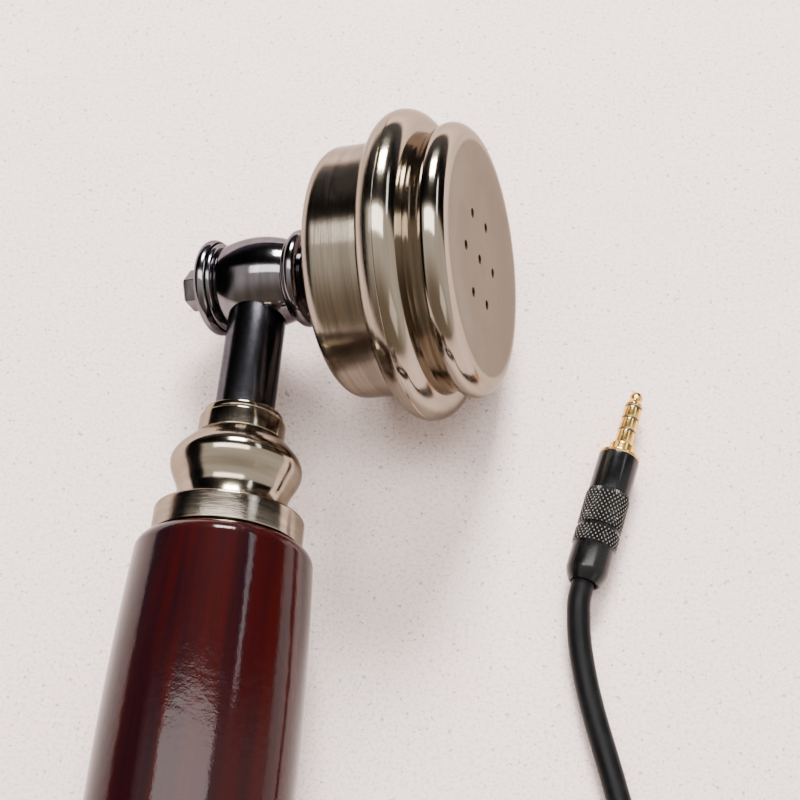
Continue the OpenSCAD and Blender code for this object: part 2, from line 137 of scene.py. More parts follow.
class GripSettings(bpy.types.PropertyGroup):
    """Sizes and stain of the wooden grip."""

    radius: length("Grip radius", half_width("wood_grip", 2), "Radius at the middle")
    end_radius: length("End radius", 0.0159, "Radius just behind the rounded ends")
    round: length("End round", 0.003, "Radius of the round at each end")
    start: length("Grip start", 0.0551, "Distance from a tee to the end of the wood")
    stain: colour("Stain", (0.024, 0.0014, 0.0012), "Red of the lacquered wood")
    dark_stain: colour("Dark grain", (0.006, 0.0014, 0.0030), "Dark streaks of the grain")


class CupSettings(bpy.types.PropertyGroup):
    """Sizes and finish of the two cups and their caps."""

    drum_radius: length("Drum radius", 0.0241, "Outer radius of the drums")
    back: length("Cup back", 0.0174, "Distance from the tee axis to the cup's back")
    bead_radius: length("Bead radius", half_width("ear_cup", 1), "Outer radius of the bead")
    bead_round: length("Bead round", 0.0041, "Radius of the bead's own section")
    bead_place: length("Bead place", 0.0333, "Distance from the tee axis to the bead")
    seam_place: length("Seam place", 0.0336, "Distance from the tee axis to the seam")
    waist_radius: length("Waist radius", 0.0242, "Radius of the ear cap's waist")
    rim_radius: length("Rim radius", 0.0258, "Radius of the ear cap's rim")
    rim_round: length("Rim round", 0.0032, "Radius of the rim's section")
    face_place: length("Face place", 0.0451, "Distance from the tee axis to the ear cap's front")
    lip_radius: length("Lip radius", 0.027, "Radius of the horn's lip")
    lip_place: length("Lip place", 0.054, "Distance from the tee axis to the lip's front")
    hole_radius: length("Hole radius", 0.00095, "Radius of the sound holes")
    nickel: colour("Nickel", (0.31, 0.268, 0.215), "Tint of the brushed nickel")
    patina: colour("Patina", (0.25, 0.210, 0.155), "Tint where the nickel is antiqued")


class NeckSettings(bpy.types.PropertyGroup):
    """Sizes and finish of the necks, tees and studs."""

    tube_radius: length("Tube radius", 0.0056, "Radius of the plain neck tubes")
    bulb_radius: length("Bulb radius", 0.0122, "Largest radius of the bulbs")
    band_radius: length("Band radius", half_width("upper_band", 2), "Radius of the grip's bands")
    tee_radius: length("Tee radius", 0.0091, "Largest radius of the tees")
    black_nickel: colour("Black nickel", (0.17, 0.16, 0.175), "Tint of the dark fittings")


class CordSettings(bpy.types.PropertyGroup):
    """Size and colour of the cord and its tie."""

    diameter: length("Cord diameter", 0.0044, "Diameter of the cord")
    coil_radius: length("Coil radius", 0.0242, "Radius at the middle of the coil's turns")
    rubber: colour("Rubber", (0.0035, 0.0036, 0.0042), "Colour of the cord's jacket")
    strap: colour("Strap", (0.022, 0.022, 0.026), "Colour of the coil's strap")


class PlugSettings(bpy.types.PropertyGroup):
    """Sizes and finish of the plug."""

    contact_radius: length("Contact radius", 0.00175, "Radius of the contacts")
    body_radius: length("Body radius", 0.004, "Radius of the smooth body")
    knurl_radius: length("Knurl radius", 0.0043, "Radius over the knurl")
    knurl_depth: length("Knurl depth", 0.00032, "Depth of the knurl's cuts")
    knurl_count: IntProperty(
        name="Knurl count", description="Diamonds around the shell", default=30, min=12, max=60
    )
    gold: colour("Gold", (0.95, 0.60, 0.18), "Tint of the contacts")


class StudioSettings(bpy.types.PropertyGroup):
    """Camera, floor and lights."""

    target: FloatVectorProperty(
        name="Target",
        description="Point on the table that the camera looks at",
        default=(0.00715, 0.08531, 0),
        subtype="TRANSLATION",
        unit="LENGTH",
        size=3,
    )
    distance: length("Distance", 0.3016, "Distance from the camera to its target")
    elevation: FloatProperty(
        name="Elevation",
        description="Angle of the camera above the table",
        default=math.radians(63.64),
        subtype="ANGLE",
        unit="ROTATION",
    )
    azimuth: FloatProperty(
        name="Azimuth",
        description="Angle of the camera round the object",
        default=math.radians(4.71),
        subtype="ANGLE",
        unit="ROTATION",
    )
    roll: FloatProperty(
        name="Roll",
        description="Turn of the camera about its own line of sight",
        default=math.radians(-0.19),
        subtype="ANGLE",
        unit="ROTATION",
    )
    lens: FloatProperty(
        name="Lens",
        description="Focal length on a 36 mm sensor",
        default=67.5,
        min=10,
        subtype="DISTANCE_CAMERA",
    )
    floor: colour("Floor", (1.0, 0.810, 0.775), "Colour of the paper on the table")
    key_power: FloatProperty(
        name="Key power",
        description="Power of the softbox beyond the table",
        default=44,
        min=0,
        subtype="POWER",
        unit="POWER",
    )


def settings():
    """All the settings of the current scene."""
    return bpy.context.scene.corded_handset


class HandsetSettings(bpy.types.PropertyGroup):
    """Everything that a user may change."""

    grip: PointerProperty(type=GripSettings)
    cups: PointerProperty(type=CupSettings)
    neck: PointerProperty(type=NeckSettings)
    cord: PointerProperty(type=CordSettings)
    plug: PointerProperty(type=PlugSettings)
    studio: PointerProperty(type=StudioSettings)


# ---- outlines, in millimetres, as (radius, place along the axis) ----


def fillet(corners, steps=5):
    """Rounds each corner that names a radius as its third number."""
    out = []
    for i, corner in enumerate(corners):
        here = Vector(corner[:2])
        size = corner[2] if len(corner) > 2 else 0
        if not size:
            out.append(here)
            continue
        before = Vector(corners[i - 1][:2]) - here
        after = Vector(corners[(i + 1) % len(corners)][:2]) - here
        half = before.angle(after) / 2
        reach = min(size / math.tan(half), 0.48 * before.length, 0.48 * after.length)
        start, end = here + before.normalized() * reach, here + after.normalized() * reach
        for k in range(steps + 1):
            t = k / steps
            out.append(start * (1 - t) ** 2 + here * 2 * t * (1 - t) + end * t * t)
    return [tuple(p) for p in out]


def arc(centre, radius, start, end, steps=24):
    """Points on a circle from one angle to another, in degrees."""
    out = []
    for k in range(steps + 1):
        angle = math.radians(start + (end - start) * k / steps)
        out.append((centre[0] + radius * math.cos(angle), centre[1] + radius * math.sin(angle)))
    return out


def pipe(outer, inner, start, end, bevel=0.1):
    """A tube with softened edges."""
    return fillet(
        [(outer, start, bevel), (outer, end, bevel), (inner, end, bevel), (inner, start, bevel)]
    )


def ring_point(radius, angle, height):
    """A point at an angle round the axis, from millimetres to metres."""
    return Vector((radius * math.cos(angle), radius * math.sin(angle), height)) * MM


def smooth(t):
    """Eases from 0 to 1."""
    t = min(max(t, 0), 1)
    return t * t * (3 - 2 * t)


# ---- mesh making ----


def new_object(name, mesh, place):
    """A linked object at a placement."""
    piece = bpy.data.objects.new(name, mesh)
    bpy.context.scene.collection.objects.link(piece)
    piece.matrix_world = place
    return piece


def finish_mesh(bm, name, crease=CREASE):
    """A smooth mesh that keeps its crisp edges."""
    bmesh.ops.recalc_face_normals(bm, faces=bm.faces)
    mesh = bpy.data.meshes.new(name)
    bm.to_mesh(mesh)
    bm.free()
    mesh.shade_smooth()
    mesh.set_sharp_from_angle(angle=math.radians(crease))
    return mesh


def turn_outline(bm, outline, closed, sides=SIDES, radius_at=None):
    """Adds one turned solid to bm. Points on the axis become single poles."""
    rings = []
    for r, z in outline:
        if r < ON_AXIS:
            rings.append([bm.verts.new((0, 0, z * MM))])
            continue
        ring = []
        for k in range(sides):
            angle = 2 * math.pi * k / sides
            rr = radius_at(r, z, angle) if radius_at else r
            ring.append(bm.verts.new(ring_point(rr, angle, z)))
        rings.append(ring)
    pairs = list(zip(rings, rings[1:]))
    if closed:
        pairs.append((rings[-1], rings[0]))
    for a, b in pairs:
        for k in range(sides):
            n = (k + 1) % sides
            corners = []
            for v in (a[k % len(a)], a[n % len(a)], b[n % len(b)], b[k % len(b)]):
                if v not in corners:
                    corners.append(v)
            if len(corners) > 2:
                bm.faces.new(corners)


def lathe(name, place, outlines, sides=SIDES, radius_at=None, crease=CREASE):
    """One object turned from one or more outlines. An outline that starts on the axis is open."""
    bm = bmesh.new()
    for outline in outlines:
        turn_outline(bm, outline, outline[0][0] > ON_AXIS, sides, radius_at)
    return new_object(name, finish_mesh(bm, name, crease), place)


def hexagon(bm, radius, start, end, bevel):
    """Adds a hexagon bar with a chamfer 0.55 mm by 0.45 mm on its outer end and soft edges."""
    corners = ((radius - 0.55, start), (radius, start + 0.45), (radius, end))
    rings = [
        [bm.verts.new(ring_point(r, math.pi * k / 3, z)) for k in range(6)] for r, z in corners
    ]
    for a, b in zip(rings, rings[1:]):
        for k in range(6):
            bm.faces.new((a[k], a[(k + 1) % 6], b[(k + 1) % 6], b[k]))
    bm.faces.new(rings[0])
    bm.faces.new(rings[-1])
    edges = [e for ring in rings for v in ring for e in v.link_edges]
    bmesh.ops.bevel(
        bm, geom=list(set(edges)), offset=bevel * MM, segments=3, affect="EDGES", profile=0.5
    )


def cut(piece, cutter):
    """Takes the cutter's shape out of the piece for good."""
    modifier = piece.modifiers.new("cut", "BOOLEAN")
    modifier.object = cutter
    modifier.operation = "DIFFERENCE"
    modifier.solver = "EXACT"
    bpy.context.view_layer.update()
    ready = piece.evaluated_get(bpy.context.evaluated_depsgraph_get())
    mesh = bpy.data.meshes.new_from_object(ready)
    piece.modifiers.clear()
    piece.data = mesh
    bpy.data.objects.remove(cutter)
    mesh.shade_smooth()
    mesh.set_sharp_from_angle(angle=math.radians(CREASE))


def sound_holes(piece, place, rings, radius, start, end, turn):
    """Drills rings of (count, ring radius) sound holes along the axis."""
    bm = bmesh.new()
    for count, ring_radius in rings:
        for k in range(count):
            angle = 2 * math.pi * k / count + math.radians(turn)
            bmesh.ops.create_cone(
                bm, cap_ends=True, segments=32, radius1=radius, radius2=radius,
                depth=(end - start) * MM,
                matrix=Matrix.Translation(ring_point(ring_radius, angle, (start + end) / 2)),
            )
    mesh = bpy.data.meshes.new("drills")
    bm.to_mesh(mesh)
    bm.free()
    cut(piece, new_object("drills", mesh, place))


def settle(piece, body, finish, *nodes, slot=None):
    """Gives a piece its body and finish and hides the frame nodes that it stands for. slot is not
    used.
    """
    piece.data.materials.clear()
    piece.data.materials.append(FINISHES[finish])
    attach(piece, body)
    if nodes:
        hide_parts(*nodes)
    return piece


# ---- shader graphs ----


def scaled(tint, share):
    """A colour made darker or lighter by a share."""
    return tuple(c * share for c in tint)


class Graph:
    """Adds and links the nodes of one tree."""

    def __init__(self, tree):
        self.tree = tree

    def add(self, kind, inputs=None, **facts):
        """A new node with its inputs linked or set."""
        node = self.tree.nodes.new("ShaderNode" + kind)
        node.location = (220 * (len(self.tree.nodes) % 12), -260 * (len(self.tree.nodes) // 12))
        for key, value in facts.items():
            setattr(node, key, value)
        for key, value in (inputs or {}).items():
            self.join(node.inputs[key], value)
        return node

    def join(self, socket, value):
        """Links a socket to another, or sets its value."""
        if isinstance(value, bpy.types.NodeSocket):
            self.tree.links.new(value, socket)
        elif hasattr(socket.default_value, "__len__") and not hasattr(value, "__len__"):
            socket.default_value = [value] * len(socket.default_value)
        elif hasattr(value, "__len__") and len(value) == 3 and len(socket.default_value) == 4:
            socket.default_value = (*value, 1)
        else:
            socket.default_value = value

    def math(self, operation, a, b=0.0, clamp=False):
        """One Math node's result."""
        return self.add("Math", {0: a, 1: b}, operation=operation, use_clamp=clamp).outputs[0]

    def vector(self, operation, a, b=(0, 0, 0)):
        """One Vector Math node's result."""
        return self.add("VectorMath", {0: a, 1: b}, operation=operation).outputs[0]

    def span(self, value, low, high, to_low=0.0, to_high=1.0):
        """Value's stretch from low to high, eased and spread over another stretch."""
        values = {
            "Value": value, "From Min": low, "From Max": high, "To Min": to_low, "To Max": to_high,
        }
        return self.add("MapRange", values, interpolation_type="SMOOTHSTEP").outputs[0]

    def blend(self, mask, a, b):
        """Two colours mixed by a mask."""
        return self.add("Mix", {0: mask, 6: a, 7: b}, data_type="RGBA").outputs[2]

    def noise(self, vector, scale, detail=3.0, roughness=0.5, w=None):
        """Noise from 0 to 1, in four dimensions where w is given."""
        values = {"Vector": vector, "Scale": scale, "Detail": detail, "Roughness": roughness}
        if w is not None:
            values["W"] = w
        dimensions = "3D" if w is None else "4D"
        return self.add("TexNoise", values, noise_dimensions=dimensions).outputs[0]

    def millimetres(self):
        """The object's own coordinates in millimetres."""
        place = self.add("TexCoord").outputs["Object"]
        return self.vector("MULTIPLY", place, (1000, 1000, 1000))


def new_group(name, inputs, outputs):
    """An empty effect group. Returns its graph, its input node and its output node."""
    tree = bpy.data.node_groups.new(name, "ShaderNodeTree")
    for label, default in inputs:
        socket = tree.interface.new_socket(
            name=label, in_out="INPUT", socket_type="NodeSocketFloat"
        )
        socket.default_value = default
    for label, kind in outputs:
        tree.interface.new_socket(name=label, in_out="OUTPUT", socket_type=kind)
    return Graph(tree), tree.nodes.new("NodeGroupInput"), tree.nodes.new("NodeGroupOutput")


VALUE = "NodeSocketFloat"


def turning_lines_group():
    """Hairlines left by a brush held against turned metal."""
    graph, start, end = new_group(
        "turning_lines",
        [("Fineness", 9.0), ("Spread", 3.0)],
        [("Lines", VALUE), ("Broad", VALUE), ("Radius", VALUE), ("Along", VALUE)],
    )
    place = graph.add("SeparateXYZ", {0: graph.millimetres()})
    x, y, z = place.outputs
    radius = graph.math("SQRT", graph.math("ADD", graph.math("MULTIPLY", x, x),
                                           graph.math("MULTIPLY", y, y)))
    safe = graph.math("MAXIMUM", radius, 0.05)
    spread = start.outputs["Spread"]
    around = graph.add(
        "CombineXYZ",
        {
            0: graph.math("MULTIPLY", graph.math("DIVIDE", x, safe), spread),
            1: graph.math("MULTIPLY", graph.math("DIVIDE", y, safe), spread),
            2: graph.math("MULTIPLY", z, start.outputs["Fineness"]),
        },
    ).outputs[0]
    outward = graph.math("MULTIPLY", radius, start.outputs["Fineness"])
    graph.join(end.inputs["Lines"], graph.noise(around, 1.0, 4.0, 0.62, outward))
    wide = graph.vector("MULTIPLY", around, (0.6, 0.6, 0.16))
    graph.join(
        end.inputs["Broad"],
        graph.noise(wide, 1.0, 2.0, 0.5, graph.math("MULTIPLY", outward, 0.16)),
    )
    graph.join(end.inputs["Radius"], radius)
    graph.join(end.inputs["Along"], z)


def handling_group():
    """Faint smudges and tiny specks from handling."""
    graph, start, end = new_group(
        "handling_marks", [("Scale", 0.12)], [("Smudge", VALUE), ("Specks", VALUE)]
    )
    place = graph.millimetres()
    cloud = graph.noise(place, start.outputs["Scale"], 5.0, 0.6)
    graph.join(end.inputs["Smudge"], graph.span(cloud, 0.42, 0.66))
    dots = graph.add("TexVoronoi", {"Vector": place, "Scale": 1.1}, feature="F1")
    near = graph.math("SUBTRACT", 1.0, graph.span(dots.outputs["Distance"], 0.02, 0.075))
    rare = graph.span(graph.noise(place, 0.7, 1.0), 0.55, 0.62)
    graph.join(end.inputs["Specks"], graph.math("MULTIPLY", near, rare))


def peel_group():
    """The slight ripple of a sprayed or moulded surface."""
    graph, start, end = new_group(
        "surface_ripple", [("Scale", 1.4), ("Fine", 9.0)], [("Height", VALUE)]
    )
    place = graph.millimetres()
    broad = graph.noise(place, start.outputs["Scale"], 2.0, 0.5)
    fine = graph.noise(place, start.outputs["Fine"], 2.0, 0.5)
    height = graph.math("ADD", broad, graph.math("MULTIPLY", fine, 0.35))
    graph.join(end.inputs["Height"], height)


def wear_group():
    """Rubbed edges, from how sharply the surface turns."""
    graph, start, end = new_group("edge_wear", [("Reach", 0.06)], [("Mask", VALUE)])
    turn = graph.add("NewGeometry").outputs["Pointiness"]
    edge = graph.add("MapRange", {"Value": turn, "From Min": 0.5, "From Max": 0.5})
    graph.join(edge.inputs["From Max"], graph.math("ADD", 0.5, start.outputs["Reach"]))
    broken = graph.span(graph.noise(graph.millimetres(), 1.3, 4.0, 0.6), 0.3, 0.7)
    graph.join(end.inputs["Mask"], graph.math("MULTIPLY", edge.outputs[0], broken, clamp=True))


def place_group(graph, name, **values):
    """Places an effect group with its own values."""
    node = graph.tree.nodes.new("ShaderNodeGroup")
    node.node_tree = bpy.data.node_groups[name]
    for key, value in values.items():
        graph.join(node.inputs[key.capitalize()], value)
    return node.outputs


def bump(graph, height, strength, distance):
    """A normal from a height in metres."""
    node = graph.add("Bump", {"Strength": strength, "Distance": distance, "Height": height})
    return node.outputs[0]


def new_material(name):
    """A material with only its output and Principled shader."""
    material = bpy.data.materials.new(name)
    material.use_nodes = True
    graph = Graph(material.node_tree)
    shader = material.node_tree.nodes["Principled BSDF"]
    return material, graph, shader


def setup(graph, shader, **values):
    """Sets or links the shader's sockets, with spaces written as underscores."""
    for key, value in values.items():
        graph.join(shader.inputs[key.replace("_", " ")], value)


def turned_metal(
    name, tint, shade, rough, fineness, spread, depth, streaks, brushed=0.0, face=None
):
    """Metal brushed or polished on a lathe. face is (place, radius, roughness) of a satin front
    that is also painted darker as shade.
    """
    material, graph, shader = new_material(name)
    lines = place_group(graph, "turning_lines", fineness=fineness, spread=spread)
    marks = place_group(graph, "handling_marks", scale=0.10)
    wear = place_group(graph, "edge_wear", reach=0.05)
    tone = graph.blend(graph.span(lines["Broad"], 0.3, 0.7), shade, tint)
    tone = graph.blend(graph.math("MULTIPLY", marks["Smudge"], 0.18), tone, shade)
    tone = graph.blend(graph.math("MULTIPLY", wear["Mask"], 0.5), tone, tint)
    roughness = graph.math(
        "ADD", rough - streaks / 2, graph.math("MULTIPLY", lines["Lines"], streaks)
    )
    roughness = graph.math("ADD", roughness, graph.math("MULTIPLY", marks["Smudge"], 0.05))
    height = lines["Lines"]
    if face:
        start, edge, satin = face
        front = graph.math(
            "MULTIPLY",
            graph.span(lines["Along"], start - 0.4, start),
            graph.math("SUBTRACT", 1.0, graph.span(lines["Radius"], edge - 0.8, edge)),
        )
        roughness = graph.math("ADD", roughness, graph.math("MULTIPLY", front, satin - rough))
        # Painted shade: the front is darkened to stand in for its dimmer reflection
        tone = graph.blend(graph.math("MULTIPLY", front, 0.9), tone, scaled(shade, 0.50))
        grain = graph.noise(graph.millimetres(), 6.0, 3.0, 0.6)
        grain = graph.math("MULTIPLY", grain, graph.math("MULTIPLY", front, 0.7))
        height = graph.math("ADD", graph.math("MULTIPLY", height, 0.6), grain)
    setup(
        graph,
        shader,
        Base_Color=tone,
        Roughness=roughness,
        Metallic=1.0,
        Normal=bump(graph, height, depth, 0.00002),
    )
    shader.inputs["Specular Tint"].default_value = (*(0.42 + 0.5 * c for c in tint), 1.0)
    if brushed:
        shader.inputs["Anisotropic"].default_value = brushed
        tangent = graph.add("Tangent", direction_type="RADIAL", axis="Z")
        graph.join(shader.inputs["Tangent"], tangent.outputs[0])
        shader.inputs["Anisotropic Rotation"].default_value = 0.25
    return material


def lacquered_wood():
    """Dark red stained wood under a glossy, slightly rippled lacquer."""
    s = settings().grip
    material, graph, shader = new_material("lacquered_mahogany")
    place = graph.millimetres()
    long = graph.vector("MULTIPLY", place, (1.0, 1.0, 0.045))
    warped = graph.noise(long, 0.22, 4.0, 0.6)
    bands = graph.noise(graph.vector("MULTIPLY", place, (1.0, 1.0, 0.012)), 0.16, 2.0, 0.5)
    pores = graph.noise(graph.vector("MULTIPLY", place, (1.0, 1.0, 0.05)), 3.2, 3.0, 0.7)
    mask = graph.math(
        "ADD", graph.math("MULTIPLY", warped, 0.45), graph.math("MULTIPLY", bands, 0.55)
    )
    tone = graph.blend(graph.span(mask, 0.40, 0.60), s.dark_stain, s.stain)
    tone = graph.blend(
        graph.math("MULTIPLY", graph.span(pores, 0.60, 0.72), 0.35), tone, s.dark_stain
    )
    ripple = place_group(graph, "surface_ripple", scale=0.55, fine=2.4)
    marks = place_group(graph, "handling_marks", scale=0.08)
    height = graph.math("SUBTRACT", ripple["Height"], graph.math("MULTIPLY", marks["Specks"], 1.2))
    normal = bump(graph, height, 0.30, 0.00010)
    setup(
        graph,
        shader,
        Base_Color=tone,
        Roughness=graph.math("ADD", 0.45, graph.math("MULTIPLY", marks["Smudge"], 0.05)),
        Normal=normal,
    )
    graph.join(shader.inputs["Coat Normal"], normal)
    shader.inputs["Specular IOR Level"].default_value = 0.02
    shader.inputs["Coat Weight"].default_value = 0.85
    shader.inputs["Coat Roughness"].default_value = 0.09
    shader.inputs["Coat IOR"].default_value = 1.3
    return material


def soft_plastic(name, tint, rough, ripple=6.0, depth=0.25, specular=0.5, crest_highlight=None):
    """Rubber, plastic, paper or fibre, with an optional (radius, colour) that paints a highlight on
    the crests above that radius.
    """
    material, graph, shader = new_material(name)
    surface = place_group(graph, "surface_ripple", scale=ripple, fine=ripple * 5)
    marks = place_group(graph, "handling_marks", scale=0.2)
    wear = place_group(graph, "edge_wear", reach=0.08)
    lifted = tuple(min(1.0, c * 1.7 + 0.003) for c in tint)
    tone = graph.blend(graph.math("MULTIPLY", marks["Smudge"], 0.30), tint, lifted)
    tone = graph.blend(graph.math("MULTIPLY", wear["Mask"], 0.35), tone, lifted)
    # Painted highlight: crests above the radius are lightened where they catch the light
    if crest_highlight:
        top, crest_highlight_tint = crest_highlight
        lines = place_group(graph, "turning_lines", fineness=4.0, spread=3.0)
        crest = graph.span(lines["Radius"], top - 0.10, top - 0.01)
        tone = graph.blend(graph.math("MULTIPLY", crest, 0.85), tone, crest_highlight_tint)
    tone = graph.blend(graph.math("MULTIPLY", marks["Specks"], 0.25), tone, (0.35, 0.33, 0.30))
    setup(
        graph,
        shader,
        Base_Color=tone,
        Roughness=graph.math("ADD", rough, graph.math("MULTIPLY", marks["Smudge"], 0.10)),
        Normal=bump(graph, surface["Height"], depth, 0.00004),
    )
    shader.inputs["Specular IOR Level"].default_value = specular
    return material


def woven(name, tint, count, depth):
    """Plain woven cloth or webbing, count threads to the millimetre."""
    material, graph, shader = new_material(name)
    place = graph.add("SeparateXYZ", {0: graph.millimetres()})
    x, y, z = place.outputs
    warp = graph.math("SINE", graph.math("MULTIPLY", y, count * 6.2832))
    run = graph.math("ADD", x, z)
    weft = graph.math("SINE", graph.math("MULTIPLY", run, count * 6.2832))
    height = graph.span(graph.math("MULTIPLY", warp, weft), -1.0, 1.0)
    loose = graph.noise(graph.millimetres(), 2.0, 3.0)
    tone = graph.blend(graph.math("MULTIPLY", height, loose), scaled(tint, 0.35), tint)
    setup(
        graph,
        shader,
        Base_Color=tone,
        Roughness=graph.math("ADD", 0.7, graph.math("MULTIPLY", loose, 0.2)),
        Normal=bump(graph, height, depth, 0.00015),
    )
    return material


def paper_floor():
    """Pale recycled paper with flecks of fibre."""
    s = settings().studio
    material, graph, shader = new_material("flecked_paper")
    place = graph.millimetres()
    base = tuple(s.floor)
    pale = tuple(min(1.0, c * 1.05) for c in base)
    fleck = scaled(base, 0.34)
    tone = graph.blend(graph.span(graph.noise(place, 0.05, 4.0), 0.35, 0.65), base, pale)
    cloudy = graph.noise(place, 1.3, 5.0, 0.95)
    tone = graph.blend(graph.span(cloudy, 0.48, 0.66, 0.0, 0.7), tone, fleck)
    drift = graph.add("TexNoise", {"Vector": place, "Scale": 0.5}).outputs["Color"]
    bent = graph.vector("ADD", place, drift)
    dots = graph.add("TexVoronoi", {"Vector": bent, "Scale": 0.65, "Randomness": 1.0})
    size = graph.span(graph.noise(place, 0.8, 2.0), 0.46, 0.70, 0.0, 0.32)
    spot = graph.math("LESS_THAN", dots.outputs["Distance"], size)
    tone = graph.blend(graph.math("MULTIPLY", spot, 0.65), tone, fleck)
    setup(
        graph,
        shader,
        Base_Color=tone,
        Roughness=graph.span(cloudy, 0.3, 0.7, 0.82, 0.95),
        Normal=bump(graph, graph.noise(place, 1.6, 5.0, 0.8), 0.8, 0.00015),
    )
    shader.inputs["Specular IOR Level"].default_value = 0.25
    return material


def make_finishes():
    """Builds the effect groups and returns every finish by its slot."""
    for build in (turning_lines_group, handling_group, peel_group, wear_group):
        build()
    s = settings()
    nickel, patina = tuple(s.cups.nickel), tuple(s.cups.patina)
    black = tuple(s.neck.black_nickel)
    gold = tuple(s.plug.gold)
    # The caps' satin front, whose tint turned_metal also darkens as painted shade
    face = (s.cups.face_place / MM - 1.2, (s.cups.rim_radius - s.cups.rim_round) / MM, 0.34)
    # Name, tint, shade, roughness, fineness, spread, depth and streaks of each turned metal
    metals = {
        "brushed_nickel": (
            "brushed_nickel", nickel, scaled(nickel, 0.70), 0.14, 9.0, 2.2, 1.0, 0.14, 0.6
        ),
        "cap_nickel": (
            "cap_nickel", nickel, scaled(nickel, 0.88), 0.11, 7.0, 2.6, 0.30, 0.07, 0.0, face
        ),
        "antique_nickel": (
            "antique_nickel", nickel, patina, 0.12, 6.0, 1.6, 0.3, 0.06, 0.25
        ),
        "black_nickel": ("black_nickel", black, scaled(black, 0.72), 0.10, 5.0, 2.0, 0.15, 0.05),
        "dark_tube": (
            "dark_tube", (0.09, 0.09, 0.105), (0.06, 0.06, 0.07), 0.18, 10.0, 8.0, 0.4, 0.10
        ),
        "steel": (
            "turned_steel", (0.56, 0.56, 0.55), (0.42, 0.42, 0.41), 0.28, 8.0, 3.0, 0.6, 0.14
        ),
        "aluminium": (
            "pressed_aluminium", (0.74, 0.74, 0.74), (0.6, 0.6, 0.6), 0.34, 6.0, 3.0, 0.4, 0.1
        ),
        "gold": ("gold_plate", gold, scaled(gold, 0.78), 0.16, 14.0, 2.0, 0.25, 0.08),
    }
    # Name, tint, roughness, ripple, depth and specular level of each plain material
    plain = {
        "black_anodised": ("black_anodised", (0.0025, 0.0025, 0.003), 0.17, 9.0, 0.06, 0.3),
        # The knurled shell's crests carry a painted highlight
        "knurled_black": (
            "knurled_black", (0.0025, 0.0025, 0.003), 0.20, 9.0, 0.06, 0.3,
            (s.plug.knurl_radius / MM, (0.24, 0.225, 0.20)),
        ),
        "black_rubber": ("cord_rubber", tuple(s.cord.rubber), 0.34, 1.6, 0.18, 0.10),
        "black_plastic": ("moulded_plastic", (0.013, 0.013, 0.015), 0.42),
        "paper": ("pressed_paper", (0.055, 0.043, 0.034), 0.85, 2.0, 0.5, 0.3),
        "ferrite": ("ferrite", (0.06, 0.062, 0.066), 0.55, 5.0, 0.3),
        "fibre": ("washer_fibre", (0.46, 0.37, 0.24), 0.7, 3.0, 0.4, 0.3),
        "wire": ("wire_sleeve", (0.42, 0.030, 0.022), 0.4, 4.0, 0.2),
    }
    return {
        **{slot: turned_metal(*values) for slot, values in metals.items()},
        **{slot: soft_plastic(*values) for slot, values in plain.items()},
        "mahogany": lacquered_wood(),
        "strap": woven("strap_webbing", tuple(s.cord.strap), 1.6, 0.8),
        "cloth": woven("grille_cloth", (0.030, 0.027, 0.025), 2.2, 0.8),
    }


FINISHES = {}


# ---- the pieces ----


class HANDSET_OT_finishes(bpy.types.Operator):
    """Makes every material of the handset"""

    bl_idname = "handset.finishes"
    bl_label = "Finishes"

    def execute(self, context):
        FINISHES.update(make_finishes())
        return {"FINISHED"}


class HANDSET_OT_camera(bpy.types.Operator):
    """Places the camera above the table"""

    bl_idname = "handset.camera"
    bl_label = "Camera"

    def execute(self, context):
        s = settings().studio
        back = Vector(
            (
                math.sin(s.azimuth) * math.cos(s.elevation),
                -math.cos(s.azimuth) * math.cos(s.elevation),
                math.sin(s.elevation),
            )
        )
        level = Vector((math.cos(s.azimuth), math.sin(s.azimuth), 0))
        right = math.cos(s.roll) * level + math.sin(s.roll) * back.cross(level)
        data = bpy.data.cameras.new("camera")
        data.lens = s.lens
        data.sensor_width = 36
        data.clip_start = 0.01
        camera = bpy.data.objects.new("camera", data)
        context.scene.collection.objects.link(camera)
        camera.matrix_world = placed(Vector(s.target) + back * s.distance, right, back)
        context.scene.camera = camera
        return {"FINISHED"}


# The cord's route across the table, in millimetres: from the strain relief to the coil
LEAD = (
    (-21, -134, 17.4), (-21, -140, 17.4), (-21, -147, 16.2), (-20.5, -154, 13),
    (-19.5, -161, 8.4), (-17.5, -168, 4.6), (-14, -174.5, 2.7), (-9, -180, 2.2),
    (-2, -184.5, 2.2), (6, -187.5, 2.2), (15, -188.5, 2.2), (24, -188, 2.2),
    (33, -185.5, 2.2), (41, -181, 2.2), (48, -174.5, 2.2), (53.5, -166, 2.2),
    (57.5, -156, 2.2), (60.5, -144, 2.2), (62.5, -131, 2.2), (63.5, -117, 2.2),
    (64, -103, 2.2), (64, -89, 2.2), (64, -75, 2.2), (63.7, -62, 2.3), (63.2, -50, 2.6),
)
# From the coil to the plug
TAIL = (
    (60.9, -32, 6.6), (61.2, -25, 7.1), (60.7, -18, 7.1), (59.6, -13, 6.2), (58.2, -8.6, 4.4),
    (56.6, -4.2, 3), (55, 0.2, 2.3), (53.4, 4.5, 2.2), (51.8, 9.1, 2.2), (50.7, 12.7, 2.2),
    (49.3, 17.1, 2.2), (47.8, 21.8, 2.2), (46.4, 26.6, 2.2), (45.2, 31.6, 2.4),
    (44.3, 36.2, 2.9), (43.8, 40.8, 3.7), (43.9, 45.6, 4.3), (46, 54.3, 4.3), (47.5, 60.7, 4.3),
)
COIL_CENTRE = (34.5, -32)
COIL_START = -16
COIL_TURNS = 4
FLOOR_GAP = 0.6


